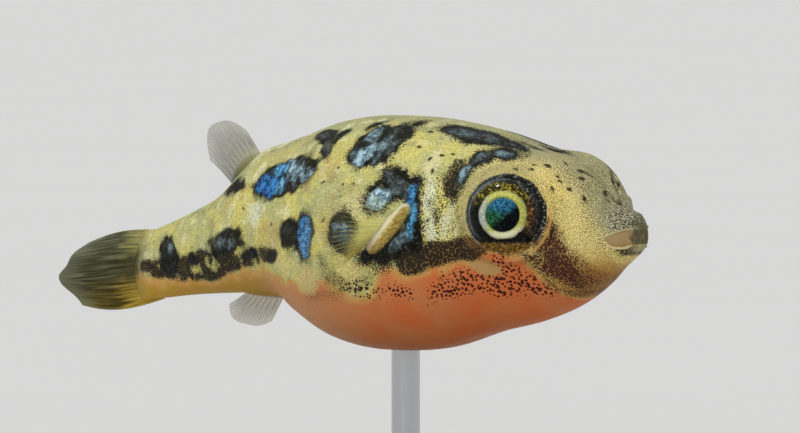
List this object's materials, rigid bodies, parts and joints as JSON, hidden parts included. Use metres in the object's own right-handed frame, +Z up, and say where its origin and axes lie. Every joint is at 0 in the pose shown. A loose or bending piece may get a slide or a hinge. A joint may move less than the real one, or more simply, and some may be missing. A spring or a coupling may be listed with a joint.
{
  "type": "pea puffer fish display model",
  "caption": "Life-size freshwater pea puffer in a swimming pose with its tail swept aside, held over a round base by a short rod.",
  "frame": {"origin": "centre of the base's flat underside, straight below the rod", "axes": "+X towards the fish's snout, +Y to its left, +Z up along the rod"},
  "size_m": [0.0303, 0.018, 0.018],
  "materials": {
    "skin": "moist scaleless skin, olive yellow over a salmon belly, with dark blotches and fine dots",
    "lips": "moist, granular, pinkish inside the mouth",
    "fin": "thin translucent membrane with soft rays",
    "eye": "wet and clear, silver-yellow iris round a blue-green pupil",
    "rod": "brushed",
    "base": "satin black"
  },
  "bodies": {
    "root": {"head": "skin", "trunk": "skin", "tail_stalk": "skin", "pectoral_base_left": "skin", "pectoral_base_right": "skin", "upper_lip": "lips", "lower_lip": "lips", "eye_left": "eye", "eye_right": "eye", "caudal_fin": "fin", "dorsal_fin": "fin", "anal_fin": "fin", "pectoral_fin_left": "fin", "pectoral_fin_right": "fin", "stand_base": "base", "stand_rod": "rod"}
  },
  "joints": []
}
